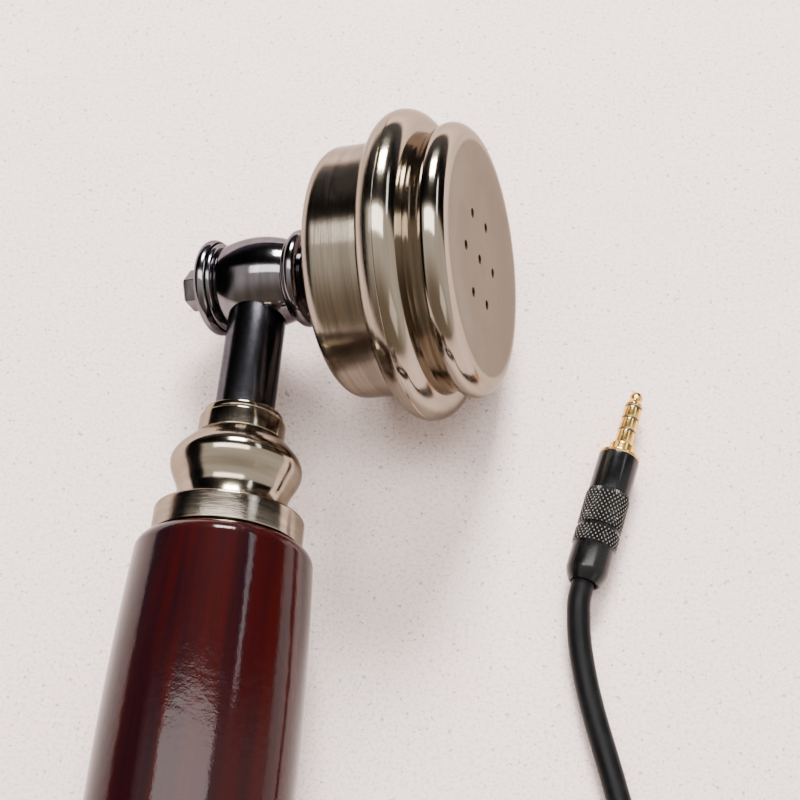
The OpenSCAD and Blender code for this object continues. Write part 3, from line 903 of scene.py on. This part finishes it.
def coil_route():
    """The spare cord: three turns on the table, then one lying between them."""
    s = settings().cord
    d, mid = s.diameter / MM, s.coil_radius / MM
    low, high = FLOOR_GAP + d / 2, FLOOR_GAP + 1.364 * d
    stops = ((mid + d, low), (mid, low), (mid - d, low), (mid - d / 2, high), (mid + d / 2, high))
    out = []
    steps = 28
    for k in range(COIL_TURNS * steps + 1):
        turns = k / steps
        ring = min(int(turns), COIL_TURNS - 1)
        t = smooth((turns - ring - 0.72) / 0.28)
        r = stops[ring][0] + (stops[ring + 1][0] - stops[ring][0]) * t
        z = stops[ring][1] + (stops[ring + 1][1] - stops[ring][1]) * t
        angle = math.radians(COIL_START) + 2 * math.pi * turns
        out.append(
            (COIL_CENTRE[0] + r * math.cos(angle), COIL_CENTRE[1] + r * math.sin(angle), z)
        )
    return out


def through(points, steps):
    """A smooth line through the points."""
    points = [Vector(p) for p in points]
    points = [2 * points[0] - points[1], *points, 2 * points[-1] - points[-2]]
    out = []
    for a, b, c, d in zip(points, points[1:], points[2:], points[3:]):
        for k in range(steps):
            t = k / steps
            out.append(
                0.5
                * (
                    2 * b
                    + (c - a) * t
                    + (2 * a - 5 * b + 4 * c - d) * t * t
                    + (3 * b - a - 3 * c + d) * t**3
                )
            )
    out.append(points[-2])
    return out


class HANDSET_OT_cord(bpy.types.Operator):
    """Lays the cord from the handle through its coil to the plug"""

    bl_idname = "handset.cord"
    bl_label = "Cord"

    def execute(self, context):
        s = settings().cord
        route = through([*LEAD, *coil_route(), *TAIL], 5)
        data = bpy.data.curves.new("cord", "CURVE")
        data.dimensions = "3D"
        data.bevel_depth = s.diameter / 2
        data.bevel_resolution = 7
        data.use_fill_caps = True
        spline = data.splines.new("POLY")
        spline.points.add(len(route) - 1)
        for point, place in zip(spline.points, route):
            point.co = (*(place * MM), 1)
        spline.use_smooth = True
        cord = new_object("cord", data, Matrix.Identity(4))
        settle(cord, "handle", "black_rubber", "cord_lead", "cord_coil", "cord_tail")
        return {"FINISHED"}


class HANDSET_OT_strap(bpy.types.Operator):
    """Wraps a woven strap round the coil's turns"""

    bl_idname = "handset.strap"
    bl_label = "Coil strap"

    def execute(self, context):
        s = settings().cord
        d, mid = s.diameter / MM, s.coil_radius / MM
        half, low, side, height, top = 1.5 * d + 0.55, 0.3, 5.6, 1.87 * d + 0.95, d + 1.2
        corners = [(-half, low, 1.9), (half, low, 1.9), (half, side, 1.6), (top, height, 1.8),
                   (-top, height, 1.8), (-half, side, 1.6)]
        loop = fillet(corners, 7)
        thick, wide, rnd = 0.27, 2.9, 0.2
        section = fillet(
            [(-thick, -wide, rnd), (thick, -wide, rnd), (thick, wide, rnd), (-thick, wide, rnd)], 3
        )
        bm = bmesh.new()
        rings = []
        for i, (x, z) in enumerate(loop):
            before, after = Vector(loop[i - 1]), Vector(loop[(i + 1) % len(loop)])
            along = (after - before).normalized()
            out = Vector((along.y, -along.x))
            rings.append(
                [bm.verts.new(((x + out.x * a) * MM, b * MM, (z + out.y * a) * MM))
                 for a, b in section]
            )
        for a, b in zip(rings, [*rings[1:], rings[0]]):
            for k in range(len(section)):
                n = (k + 1) % len(section)
                bm.faces.new((a[k], a[n], b[n], b[k]))
        place = Matrix.Translation(Vector((COIL_CENTRE[0] - mid, COIL_CENTRE[1], 0)) * MM)
        strap = new_object("coil_strap", finish_mesh(bm, "coil_strap"), place)
        settle(strap, "handle", "strap", "coil_tie")
        return {"FINISHED"}


class HANDSET_OT_relief(bpy.types.Operator):
    """Moulds the gland and the tapered strain relief"""

    bl_idname = "handset.relief"
    bl_label = "Strain relief"

    def execute(self, context):
        gland = fillet(
            [(1.8, -12.6, 0.2), (5.2, -12.6, 0.5), (5.2, -9.4, 0.4), (3.45, -9.4), (3.45, -4.8),
             (1.8, -4.8)]
        )
        ferrule = lathe("cord_ferrule", FROM_MOUTH, [gland])
        settle(ferrule, "handle", "black_nickel", "cord_gland")
        tail, flange = -34, -12.6
        sleeve = [(0, tail), (2.2, tail), (2.6, tail + 0.4)]
        for i in range(6):
            ring, z = 3 + 0.2 * i, tail + 2.5 + 3 * i
            taper = 2.6 + 1.3 * (z - tail) / (flange - tail)
            sleeve += fillet(
                [(taper, z - 0.3, 0.15), (taper, z, 0.15), (ring, z + 0.1, 0.3),
                 (ring, z + 1.2, 0.3), (taper + 0.08, z + 1.3, 0.15), (taper + 0.1, z + 1.6, 0.1)],
                3,
            )
        sleeve += [(3.9, flange - 0.3), (3.7, flange), (0, flange)]
        sleeve = lathe("strain_sleeve", FROM_MOUTH, [sleeve], SMALL_SIDES)
        settle(sleeve, "handle", "black_rubber", "strain_relief")
        return {"FINISHED"}


class HANDSET_OT_grip(bpy.types.Operator):
    """Turns the lacquered wooden grip"""

    bl_idname = "handset.grip"
    bl_label = "Wooden grip"

    def execute(self, context):
        s = settings().grip
        end = HALF_GAP - s.start / MM
        r, low, rnd = s.radius / MM, s.end_radius / MM, s.round / MM
        shoulder = end - rnd

        def at(z):
            return r - (r - low) * (z / end) ** 2

        side = [(at(shoulder * k / 40), shoulder * k / 40) for k in range(40)]
        side += arc((at(shoulder) - rnd, shoulder), rnd, 0, 90, 16)
        under = [(a, -b) for a, b in reversed(side[1:])]
        socket, deep, bore = 9.05, end - 3.2, 4.4
        recess = [(socket, end), (socket, deep), (bore, deep), (bore, -deep), (socket, -deep),
                  (socket, -end)]
        grip = lathe("lacquered_grip", HANDLE, [[*under, *side, *recess]])
        settle(grip, "handle", "mahogany", "wood_grip")
        return {"FINISHED"}


class HANDSET_OT_necks(bpy.types.Operator):
    """Turns the tubes, collars, bulbs and bands of both necks"""

    bl_idname = "handset.necks"
    bl_label = "Necks"

    def execute(self, context):
        s = settings().neck
        tube, bulb_r, band_r = s.tube_radius / MM, s.bulb_radius / MM, s.band_radius / MM
        bore, collar_top, collar_end, widest, bulb_end, band_start = 4.25, 31, 34.2, 39.8, 46, 49.3
        band_end, collar_r, waist_r = 55.1, 8.3, 10.2
        collar = fillet(
            [(tube + 0.05, 29), (7.5, 29, 0.35), (7.5, 30, 0.3), (7.15, 30.3, 0.25),
             (8.1, 30.6, 0.35), (8.1, collar_end, 0.25), (bore, collar_end), (bore, collar_top),
             (tube + 0.05, collar_top)], 6
        )
        steps = [k / 24 for k in range(25)]
        bulb = [(collar_r + (bulb_r - collar_r) * math.sin(math.pi / 2 * t) ** 1.15,
                 collar_end + (widest - collar_end) * t) for t in steps]
        bulb += [(waist_r + (bulb_r - waist_r) * (1 + math.cos(math.pi * t)) / 2,
                  widest + (bulb_end - widest) * t) for t in steps[1:]]
        bulb += [(waist_r + 0.7 * t * t, bulb_end + (band_start - bulb_end) * t)
                 for t in (k / 10 for k in range(1, 11))]
        bulb += [(bore, band_start), (bore, collar_end)]
        band = fillet(
            [(bore, band_start), (band_r, band_start, 0.7), (band_r, band_end - 0.4, 0.35),
             (band_r - 1, band_end - 0.35, 0.1), (band_r - 1, band_end), (9, band_end),
             (9, band_end + 3), (bore, band_end + 3)], 6
        )
        pieces = (
            ("neck_tube", [pipe(tube, bore, 6.8, collar_top)], "black_nickel", "dark_tube"),
            ("collar", [collar], "antique_nickel", "antique_nickel"),
            ("bulb", [bulb], "antique_nickel", "antique_nickel"),
            ("band", [band], "brushed_nickel", "brushed_nickel"),
        )
        for side, place in (("upper", FROM_EAR), ("lower", FROM_MOUTH)):
            for part, outlines, slot, finish in pieces:
                piece = lathe(f"{side}_turned_{part}", place, outlines)
                settle(piece, "handle", finish, f"{side}_{part}", slot=slot)
        return {"FINISHED"}


class HANDSET_OT_tees(bpy.types.Operator):
    """Turns the barrel tees, their bead rings and the hexagon studs"""

    bl_idname = "handset.tees"
    bl_label = "Tees and studs"

    def execute(self, context):
        wide = settings().neck.tee_radius / MM
        bore, half, end_r, steps = 2.05, 7.2, 7.6, 32
        barrel = [(bore, -half)]
        for k in range(steps + 1):
            z = -half + 2 * half * k / steps
            swell = math.cos(math.pi * z / (2 * half)) ** 0.8
            barrel.append((end_r + (wide - end_r) * swell, z))
        barrel += [(bore, half)]
        ring = [(bore, half), (end_r, half)]
        ring += arc((7.85, 8.0), 0.8, -90, 62, 14)
        ring += arc((8.1, 9.3), 1.4, -52, 90, 24)
        ring += [(end_r, 10.5), (bore, 10.5)]
        rings = [[(r, side * z) for r, z in ring] for side in (-1, 1)]
        for end, place in (("ear", EAR_END), ("mouth", MOUTH_END)):
            piece = lathe(f"{end}_barrel", place, [barrel])
            settle(piece, "handle", "black_nickel", f"{end}_tee")
            piece = lathe(f"{end}_turned_beads", place, rings)
            settle(piece, "handle", "black_nickel", f"{end}_bead_rings")
            bm = bmesh.new()
            turn_outline(bm, fillet([(1.1, -3), (2, -10.3), (2, 22.4, 0.3), (1.1, 22.4)]), True, 64)
            hexagon(bm, 4.2, -15.6, -10.3, 0.16)
            stud = new_object(f"{end}_hexagon_stud", finish_mesh(bm, "stud", 25), place)
            settle(stud, "handle", "black_nickel", f"{end}_stud")
        return {"FINISHED"}


# The fine step at the seam, the length of a cap's spigot and the thickness of its floor, in mm
LIP = 0.10
SPIGOT = 3.2
FLOOR = 1.5


def bead_arc(front, edge_radius):
    """The bead's outline from the seam forward, or from its foot up to the seam."""
    s = settings().cups
    b, x = s.bead_round / MM, s.bead_place / MM
    middle = s.bead_radius / MM - b
    seam = math.degrees(math.asin((s.seam_place - s.bead_place) / s.bead_round))
    foot = math.degrees(math.acos((edge_radius - middle) / b))
    crack = 1.6
    if front:
        return arc((middle, x), b, seam + crack, foot, 40)
    return arc((middle, x), b, -foot, seam - crack, 40)


def screw_end(bead, floor):
    """The threaded end that a cap or horn puts into its cup, as far as the back of its floor."""
    s = settings().cups
    seam, drum = s.seam_place / MM, s.drum_radius / MM
    spigot, inside, end = drum - 0.75, drum - 2.5, seam - SPIGOT
    return [(bead[0][0] - LIP, seam), (spigot, seam), (spigot, end), (inside, end),
            (inside, floor - FLOOR), (0, floor - FLOOR)]


class HANDSET_OT_cups(bpy.types.Operator):
    """Turns the two brushed cups with their half beads"""

    bl_idname = "handset.cups"
    bl_label = "Cups"

    def execute(self, context):
        s = settings().cups
        drum, back, seam = s.drum_radius / MM, s.back / MM, s.seam_place / MM
        bore, inner, wall, shelf = drum - 0.7, drum - 1.4, 1.4, seam - 3.6
        bead = bead_arc(False, drum)
        lip = (bead[-1][0] - LIP, seam)
        outline = [(2.05, back), *arc((drum - 3, back + 3), 3, -90, 0, 16), *bead, lip]
        outline += [(bore, seam), (bore, shelf), (inner, shelf)]
        outline += [(inner, back + wall), (2.05, back + wall)]
        for end, place, body in (
            ("ear", EAR_END, "earpiece"),
            ("mouth", MOUTH_END, "mouthpiece"),
        ):
            cup = lathe(f"{end}_turned_cup", place, [outline])
            settle(cup, body, "brushed_nickel", f"{end}_cup")
        return {"FINISHED"}


class HANDSET_OT_ear_cap(bpy.types.Operator):
    """Turns the ear cap and drills its seven sound holes"""

    bl_idname = "handset.ear_cap"
    bl_label = "Ear cap"

    def execute(self, context):
        s = settings().cups
        waist, rim = s.waist_radius / MM, s.rim_radius / MM
        rnd, face = s.rim_round / MM, s.face_place / MM
        bead = bead_arc(True, waist)
        foot, rim_x = bead[-1][1] + 0.7, face - rnd
        side = []
        for k in range(17):
            t = k / 16
            side.append((waist + (rim - waist) * smooth(t), foot + (rim_x - foot) * t))
        deep = 0.8
        dish = face - deep
        outline = [(0, dish), (6, dish), (12, dish)]
        edge, steps = rim - rnd, 8
        outline += [(12 + (edge - 12) * k / steps, dish + deep * smooth(k / steps))
                    for k in range(1, steps)]
        outline += list(reversed(arc((edge, rim_x), rnd, 0, 90, 20)))
        outline += list(reversed(side)) + list(reversed(bead))
        outline += screw_end(bead, dish)
        cap = lathe("ear_turned_cap", EAR_END, [outline])
        sound_holes(cap, EAR_END, ((1, 0), (6, 8.8)), s.hole_radius, face - 4, face + 2, 14)
        settle(cap, "ear_cap", "cap_nickel", "ear_cap", slot="brushed_nickel")
        return {"FINISHED"}


class HANDSET_OT_horn(bpy.types.Operator):
    """Turns the flared horn of the mouthpiece and drills its floor"""

    bl_idname = "handset.horn"
    bl_label = "Horn"

    def execute(self, context):
        s = settings().cups
        lip, front = s.lip_radius / MM, s.lip_place / MM
        neck, rnd, wall, floor = 23.4, 1.3, 1.5, 44.5
        bead = bead_arc(True, neck)
        start, stop = (s.bead_place + s.bead_round) / MM, front - rnd

        def flare(x):
            """The horn's outer radius at a place along it."""
            return neck + (lip - rnd - neck) * ((x - start) / (stop - start)) ** 2

        def places(low, high, steps):
            """Evenly spaced places along the horn."""
            return [low + (high - low) * k / steps for k in range(steps + 1)]

        outer = [(flare(x), x) for x in places(start, stop - 1.1, 24)]
        inner = [(flare(x) - wall, x) for x in places(floor, stop - 0.4, 16)]
        corner = inner[0][0] - 1.2
        outline = [(0, floor), (7, floor), (14, floor), (corner, floor)]
        outline += arc((corner, floor + 1.2), 1.2, -75, -8, 6)
        outline += [p for p in inner if p[1] > floor + 1.3]
        outline += list(reversed(arc((lip - rnd, stop), rnd, -62, 196, 30)))
        outline += list(reversed(outer)) + list(reversed(bead))
        outline += screw_end(bead, floor)
        horn = lathe("mouth_turned_horn", MOUTH_END, [outline])
        sound_holes(
            horn, MOUTH_END, ((1, 0), (6, 5), (12, 10)), s.hole_radius, floor - 4, floor + 2, 14
        )
        settle(horn, "horn", "cap_nickel", "mouth_horn", slot="brushed_nickel")
        return {"FINISHED"}


# The plug's smooth body ahead of its shell, in mm
BODY_LENGTH = 8


class HANDSET_OT_plug(bpy.types.Operator):
    """Turns the plug's contacts, insulators, flange and body"""

    bl_idname = "handset.plug"
    bl_label = "Plug"

    def execute(self, context):
        s = settings().plug
        r, body = s.contact_radius / MM, s.body_radius / MM
        first, second, third, gold, pin, ring, collar = 11.1, 8.5, 5.8, 14.9, 0.9, 0.4, 2.9
        flange_r, collar_r, step, tail, thread = 3.95, 2.5, -BODY_LENGTH, -12, 3.2
        shoulder = first + ring
        tip = fillet(
            [(0, -5), (0.85, -5, 0.1), (0.85, first), (r, shoulder, 0.08),
             (r, shoulder + 0.5, 0.15), (1.2, gold - 1.95, 0.2), (1.2, gold - 1.6, 0.15),
             (1.35, gold - 1.1, 0.3), (1.1, gold - 0.4, 0.3), (0.6, gold, 0.25), (0, gold)], 4
        )
        flange = fillet(
            [(pin, 0), (flange_r, 0, 0.08), (flange_r, 0.6, 0.14), (collar_r, 0.65, 0.1),
             (collar_r, collar - 0.2, 0.3), (2.2, collar), (pin, collar)], 5
        )
        stem = fillet(
            [(pin, tail), (thread, tail, 0.3), (thread, step), (body, step, 0.15),
             (body, 0, 0.3), (pin, 0)], 5
        )
        pieces = (
            ("jack_tip", [tip], "gold", "plug_tip"),
            ("jack_ring_1", [pipe(r, pin, second + ring, first, 0.07)], "gold", "plug_ring_1"),
            ("jack_ring_2", [pipe(r, pin, third + ring, second, 0.07)], "gold", "plug_ring_2"),
            ("jack_sleeve", [pipe(r, pin, collar, third, 0.07)], "gold", "plug_sleeve_contact"),
            ("jack_insulators",
             [pipe(r - 0.02, pin, z, z + ring, 0.03) for z in (first, second, third)],
             "black_plastic", "plug_insulators"),
            ("jack_flange", [flange], "gold", "plug_flange"),
            ("jack_body", [stem], "black_anodised", "plug_body"),
        )
        for name, outlines, finish, node in pieces:
            settle(lathe(name, ON_PLUG, outlines, SMALL_SIDES), "handle", finish, node)
        return {"FINISHED"}


class HANDSET_OT_shell(bpy.types.Operator):
    """Turns the plug's shell and cuts its two diamond knurls"""

    bl_idname = "handset.shell"
    bl_label = "Plug shell"

    def execute(self, context):
        s = settings().plug
        body, top, depth = s.body_radius / MM, s.knurl_radius / MM, s.knurl_depth / MM
        pitch = 2 * math.pi * top / s.knurl_count

        def knurled(r, z, angle):
            """The radius with two crossing sets of cuts."""
            if r < top - 0.001:
                return r
            turns = angle * s.knurl_count / (2 * math.pi)
            along = z / (pitch * 1.25)
            ridges = [abs(((turns + k * along) % 1) * 2 - 1) for k in (-1, 1)]
            return r - depth * (1 - min(1, 1.35 * min(ridges)))

        def knurl(start, end):
            """A stretch of outline fine enough for the cuts."""
            count = int((end - start) / 0.11)
            return [(top, start + (end - start) * k / count) for k in range(count + 1)]

        tail, waist, front, bore = -26.7, 3.95, -BODY_LENGTH, 3.25
        outline = [(2.5, tail), (2.9, tail), (3.5, tail + 1), (3.85, tail + 1.9)]
        outline += [(body, tail + 2.5), (body, -19.6), (top - 0.1, -19.25)]
        outline += [*knurl(-19.1, -16.2), (waist, -16.05), (waist, -15.35)]
        outline += [*knurl(-15.2, -8.7), (body, front - 0.05), (3.8, front)]
        outline += [(bore, front), (bore, -20), (2.5, -20)]
        shell = lathe("jack_shell", ON_PLUG, [outline], s.knurl_count * 8, knurled, 22)
        settle(shell, "plug_shell", "knurled_black", "plug_shell", slot="black_anodised")
        return {"FINISHED"}


# The slot of each frame node that shows as it is
KEPT_NODES = {
    "tie_rod": "steel",
    "lead_wires": "wire",
    "ear_spacer": "black_nickel",
    "ear_friction_washer": "fibre",
    "ear_nut": "steel",
    "speaker_seat": "black_plastic",
    "speaker_frame": "steel",
    "speaker_magnet": "ferrite",
    "speaker_cone": "paper",
    "ear_gasket": "black_rubber",
    "ear_cloth": "cloth",
    "mouth_spacer": "black_nickel",
    "mouth_friction_washer": "fibre",
    "mouth_nut": "steel",
    "microphone_holder": "black_plastic",
    "microphone": "aluminium",
    "mouth_gasket": "black_rubber",
    "mouth_cloth": "cloth",
    "plug_tags": "gold",
    "plug_liner": "black_plastic",
}


class HANDSET_OT_inside(bpy.types.Operator):
    """Gives the parts inside the cups and neck their finishes"""

    bl_idname = "handset.inside"
    bl_label = "Inside parts"

    def execute(self, context):
        for node, slot in KEPT_NODES.items():
            part = FRAME["nodes"][node]
            part.data.materials.clear()
            part.data.materials.append(FINISHES[slot])
        return {"FINISHED"}


# The point that every light faces
AIM = Vector((0, 0.06, 0.02))


class HANDSET_OT_stage(bpy.types.Operator):
    """Builds the paper table, the studio's surroundings and its lights"""

    bl_idname = "handset.stage"
    bl_label = "Studio"

    def execute(self, context):
        bm = bmesh.new()
        bmesh.ops.create_grid(bm, x_segments=8, y_segments=8, size=3)
        mesh = bpy.data.meshes.new("table")
        bm.to_mesh(mesh)
        bm.free()
        table = new_object("table", mesh, Matrix.Translation((0, 0, -0.0002)))
        table.data.materials.append(paper_floor())
        self.surroundings(context)
        for name, place, size, power, tint in self.lights():
            data = bpy.data.lights.new(name, "AREA")
            data.shape = "RECTANGLE"
            data.size, data.size_y = size
            data.energy = power
            data.color = tint
            light = bpy.data.objects.new(name, data)
            context.scene.collection.objects.link(light)
            back = (Vector(place) - AIM).normalized()
            light.matrix_world = placed(
                Vector(place), Vector((0, 1, 0)).cross(back).normalized(), back
            )
        return {"FINISHED"}

    def lights(self):
        """Name, place, size, power and tint of each area light."""
        soft, warm, cool = (1.0, 0.965, 0.945), (1.0, 0.95, 0.90), (0.88, 0.93, 1.0)
        return (
            ("softbox", (0.02, 1.00, 0.80), (0.42, 0.34), settings().studio.key_power, soft),
            ("panel", (-0.10, 0.17, 1.10), (1.20, 0.34), 13.0, soft),
            ("fill", (0.95, -0.95, 0.70), (0.60, 0.60), 1.5, warm),
            ("strip", (0.72, 0.62, 0.86), (0.10, 0.50), 1.3, cool),
        )

    def surroundings(self, context):
        """A pale room on the near side and a dark one beyond the table and to its left."""
        world = bpy.data.worlds.new("studio")
        world.use_nodes = True
        context.scene.world = world
        graph = Graph(world.node_tree)
        facing = graph.add("TexCoord").outputs["Generated"]
        x, y, z = graph.add("SeparateXYZ", {0: facing}).outputs
        lit, dim = (1.30, 1.22, 1.13), (0.45, 0.36, 0.27)
        dark, glow, wall = (0.006, 0.006, 0.007), (0.20, 0.19, 0.22), (0.010, 0.010, 0.012)
        backdrop = (0.62, 0.60, 0.58)
        near = graph.blend(graph.span(y, -0.85, -0.25), dim, lit)
        horizon = graph.math("SUBTRACT", 1.0, graph.span(z, 0.10, 0.36))
        horizon = graph.math("MULTIPLY", horizon, graph.span(y, 0.60, 0.88))
        far = graph.blend(horizon, dark, glow)
        tone = graph.blend(graph.span(y, 0.20, 0.34), near, far)
        tone = graph.blend(graph.span(x, -0.86, -0.76), wall, tone)
        tone = graph.blend(graph.add("LightPath").outputs["Is Camera Ray"], tone, backdrop)
        background = world.node_tree.nodes["Background"]
        graph.join(background.inputs["Color"], tone)
        background.inputs["Strength"].default_value = 1.0


class HANDSET_PT_sidebar(bpy.types.Panel):
    """Lists the handset's settings and its build steps"""

    bl_idname = "HANDSET_PT_sidebar"
    bl_label = "Corded handset"
    bl_space_type = "VIEW_3D"
    bl_region_type = "UI"
    bl_category = "Handset"

    def draw(self, context):
        for group in ("grip", "cups", "neck", "cord", "plug", "studio"):
            box = self.layout.box()
            box.label(text=group.capitalize())
            values = getattr(settings(), group)
            for name in type(values).__annotations__:
                box.prop(values, name)
        for step in OPERATORS:
            self.layout.operator(step.bl_idname)


GROUPS = (
    GripSettings, CupSettings, NeckSettings, CordSettings, PlugSettings, StudioSettings,
    HandsetSettings,
)
OPERATORS = (
    HANDSET_OT_finishes, HANDSET_OT_camera, HANDSET_OT_cord, HANDSET_OT_strap,
    HANDSET_OT_relief, HANDSET_OT_grip, HANDSET_OT_necks, HANDSET_OT_tees, HANDSET_OT_cups,
    HANDSET_OT_ear_cap, HANDSET_OT_horn, HANDSET_OT_plug, HANDSET_OT_shell, HANDSET_OT_inside,
    HANDSET_OT_stage,
)


def register():
    """Registers every class and the scene's settings."""
    for cls in (*GROUPS, *OPERATORS, HANDSET_PT_sidebar):
        bpy.utils.register_class(cls)
    bpy.types.Scene.corded_handset = PointerProperty(type=HandsetSettings)


def unregister():
    """Takes everything back out."""
    del bpy.types.Scene.corded_handset
    for cls in reversed((*GROUPS, *OPERATORS, HANDSET_PT_sidebar)):
        bpy.utils.unregister_class(cls)


def main():
    """Builds the whole scene."""
    register()
    for step in OPERATORS:
        getattr(bpy.ops.handset, step.bl_idname.split(".")[1])()


if __name__ == "__main__":
    main()
